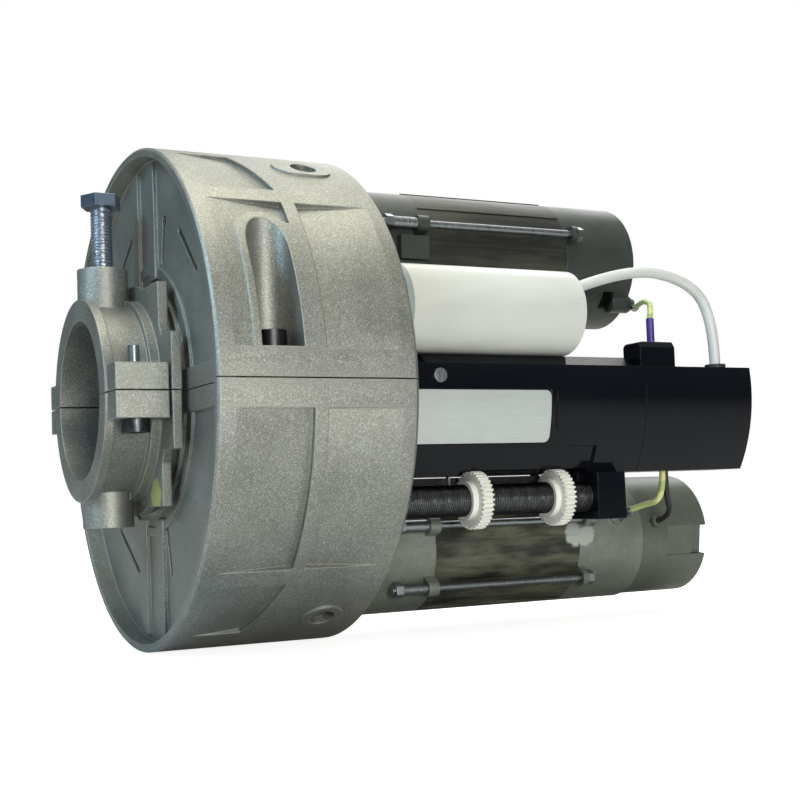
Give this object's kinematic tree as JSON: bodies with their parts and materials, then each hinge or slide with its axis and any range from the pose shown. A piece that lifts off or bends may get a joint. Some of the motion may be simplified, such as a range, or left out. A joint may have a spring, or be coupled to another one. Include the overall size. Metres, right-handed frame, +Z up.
{
  "type": "roller shutter motor",
  "caption": "Central roller shutter motor: geared crown that turns round a clamped shaft, driven by two motors with limit switches and a brake.",
  "frame": {"origin": "on the axis of the shutter shaft, in the plane of the crown's rim on the clamp side", "axes": "+X along the shaft from the clamp toward the motors, +Z up through the lock bolt, -Y toward the switch box"},
  "size_m": [0.3465, 0.24, 0.24],
  "materials": {
    "bell_casting": "satin",
    "black_plastic": "gloss",
    "black_rubber": "matte",
    "bright_steel": "gloss",
    "bronze": "satin",
    "capacitor_white": "satin",
    "copper_winding": "satin",
    "dark_steel": "satin",
    "earth_green_yellow": "matte",
    "grey_plastic": "matte",
    "label_silver": "satin",
    "lacquered_core": "gloss",
    "lead_grey": "matte",
    "machined_aluminium": "satin",
    "raw_casting": "satin",
    "sleeve_violet": "satin",
    "white_nylon": "satin",
    "zinc_steel": "satin"
  },
  "bodies": {
    "gearbox": {"brake_back_plate": "zinc_steel", "brake_cap": "bell_casting", "brake_coil": "copper_winding", "brake_cord": "black_rubber", "brake_magnet": "zinc_steel", "brake_screws": "zinc_steel", "brake_springs": "zinc_steel", "cable_cover": "black_plastic", "cable_grommets": "black_rubber", "capacitor_body": "capacitor_white", "capacitor_cap": "grey_plastic", "capacitor_lead": "lead_grey", "capacitor_saddle": "black_plastic", "clamp_cap": "raw_casting", "clamp_screws": "bright_steel", "earth_tags": "zinc_steel", "gearbox_body": "raw_casting", "gearbox_screws": "zinc_steel", "limit_switches": "black_plastic", "lower_earth_wire": "earth_green_yellow", "lower_front_bell": "bell_casting", "lower_rear_bell": "bell_casting", "motor_bearings": "zinc_steel", "motor_plate": "machined_aluminium", "motor_stators": "lacquered_core", "motor_windings": "copper_winding", "rating_plate": "label_silver", "shaft_bushes": "bronze", "small_screws": "zinc_steel", "spindle_bearing_bracket": "black_plastic", "switch_box_base": "black_plastic", "switch_box_cover": "black_plastic", "terminal_block": "black_plastic", "tie_bolt_nuts": "zinc_steel", "tie_bolt_spacers": "zinc_steel", "tie_bolts": "zinc_steel", "upper_earth_wire": "earth_green_yellow", "upper_front_bell": "bell_casting", "upper_rear_bell": "bell_casting", "wire_sleeve": "sleeve_violet"},
    "crown": {"crown_upper_half": "raw_casting", "crown_lower_half": "raw_casting", "crown_screws": "dark_steel"},
    "bearing_cage": {"bearing_cage": "white_nylon", "bearing_rollers": "zinc_steel"},
    "upper_rotor": {"upper_rotor": "zinc_steel"},
    "lower_rotor": {"lower_rotor": "zinc_steel", "brake_disc": "zinc_steel"},
    "upper_intermediate_shaft": {"upper_intermediate_shaft": "zinc_steel"},
    "lower_intermediate_shaft": {"lower_intermediate_shaft": "zinc_steel"},
    "upper_final_shaft": {"upper_final_shaft": "zinc_steel"},
    "lower_final_shaft": {"lower_final_shaft": "zinc_steel"},
    "limit_spindle": {"limit_spindle": "zinc_steel"},
    "limit_nut_a": {"limit_nut_a": "white_nylon"},
    "limit_nut_b": {"limit_nut_b": "white_nylon"},
    "upper_switch_lever": {"upper_switch_lever": "zinc_steel"},
    "lower_switch_lever": {"lower_switch_lever": "zinc_steel"},
    "nut_lock_bar": {"nut_lock_bar": "dark_steel"},
    "brake_armature": {"brake_armature": "zinc_steel"},
    "shaft_lock_bolt": {"shaft_lock_bolt": "dark_steel"}
  },
  "joints": [
    {"name": "upper_rotor_turn", "type": "hinge", "parent": "gearbox", "child": "upper_rotor", "pos_m": [0.19, 0, 0.0765], "axis": [1, 0, 0], "range_deg": [-92400, 35200]},
    {"name": "lower_rotor_turn", "type": "hinge", "parent": "gearbox", "child": "lower_rotor", "pos_m": [0.19, 0, -0.0765], "axis": [1, 0, 0], "range_deg": [-92400.09, 35200.04]},
    {"name": "upper_intermediate_turn", "type": "hinge", "parent": "gearbox", "child": "upper_intermediate_shaft", "pos_m": [0.06, 0.02942, 0.07439], "axis": [1, 0, 0], "range_deg": [-6336.01, 16632.02]},
    {"name": "lower_intermediate_turn", "type": "hinge", "parent": "gearbox", "child": "lower_intermediate_shaft", "pos_m": [0.06, 0.02942, -0.07439], "axis": [1, 0, 0], "range_deg": [-6336.01, 16632.02]},
    {"name": "upper_final_turn", "type": "hinge", "parent": "gearbox", "child": "upper_final_shaft", "pos_m": [0.06, 0.05883, 0.05783], "axis": [1, 0, 0], "range_deg": [-3780, 1440]},
    {"name": "lower_final_turn", "type": "hinge", "parent": "gearbox", "child": "lower_final_shaft", "pos_m": [0.06, 0.05883, -0.05783], "axis": [1, 0, 0], "range_deg": [-3780, 1440]},
    {"name": "crown_turn", "type": "hinge", "parent": "gearbox", "child": "crown", "pos_m": [0.046, 0, 0], "axis": [1, 0, 0], "range_deg": [-630, 240]},
    {"name": "bearing_cage_turn", "type": "hinge", "parent": "gearbox", "child": "bearing_cage", "pos_m": [0.085, 0, 0], "axis": [1, 0, 0], "range_deg": [-328.06, 124.98]},
    {"name": "limit_spindle_turn", "type": "hinge", "parent": "gearbox", "child": "limit_spindle", "pos_m": [0.15, -0.063, -0.0533], "axis": [1, 0, 0], "range_deg": [-3780, 1440]},
    {"name": "limit_nut_a_travel", "type": "slide", "parent": "gearbox", "child": "limit_nut_a", "axis": [1, 0, 0], "range_m": [-0.004, 0.0105]},
    {"name": "limit_nut_b_travel", "type": "slide", "parent": "gearbox", "child": "limit_nut_b", "axis": [1, 0, 0], "range_m": [-0.004, 0.0105]},
    {"name": "upper_switch_lever_swing", "type": "hinge", "parent": "gearbox", "child": "upper_switch_lever", "pos_m": [0.1426, -0.0527, -0.037], "axis": [0, 1, 0], "range_deg": [0, 12], "stiffness_Nm_per_rad": 0.02, "springref_deg": -2.86},
    {"name": "lower_switch_lever_swing", "type": "hinge", "parent": "gearbox", "child": "lower_switch_lever", "pos_m": [0.213, -0.0527, -0.037], "axis": [0, -1, 0], "range_deg": [0, 12], "stiffness_Nm_per_rad": 0.02, "springref_deg": -2.86},
    {"name": "nut_lock_release", "type": "slide", "parent": "gearbox", "child": "nut_lock_bar", "axis": [0, 1, 0], "range_m": [0, 0.003], "stiffness_N_per_m": 300, "springref_m": -0.002},
    {"name": "brake_armature_pull", "type": "slide", "parent": "gearbox", "child": "brake_armature", "axis": [-1, 0, 0], "range_m": [0, 0.0005], "stiffness_N_per_m": 20000, "springref_m": -0.0005},
    {"name": "shaft_lock_bolt_drive", "type": "slide", "parent": "gearbox", "child": "shaft_lock_bolt", "axis": [0, 0, -1], "range_m": [0, 0.0295]}
  ],
  "couplings": [
    {"joint": "lower_rotor_turn", "follows": "upper_rotor_turn", "ratio": 1},
    {"joint": "upper_intermediate_turn", "follows": "upper_rotor_turn", "ratio": -0.18},
    {"joint": "lower_intermediate_turn", "follows": "upper_rotor_turn", "ratio": -0.18},
    {"joint": "upper_final_turn", "follows": "upper_rotor_turn", "ratio": 0.040909},
    {"joint": "lower_final_turn", "follows": "upper_rotor_turn", "ratio": 0.040909},
    {"joint": "crown_turn", "follows": "upper_rotor_turn", "ratio": 0.0068182},
    {"joint": "bearing_cage_turn", "follows": "upper_rotor_turn", "ratio": 0.0035505},
    {"joint": "limit_spindle_turn", "follows": "upper_rotor_turn", "ratio": 0.040909},
    {"joint": "limit_nut_a_travel", "follows": "upper_rotor_turn", "m_per_rad": -0.0000065109},
    {"joint": "limit_nut_b_travel", "follows": "upper_rotor_turn", "m_per_rad": -0.0000065109}
  ]
}
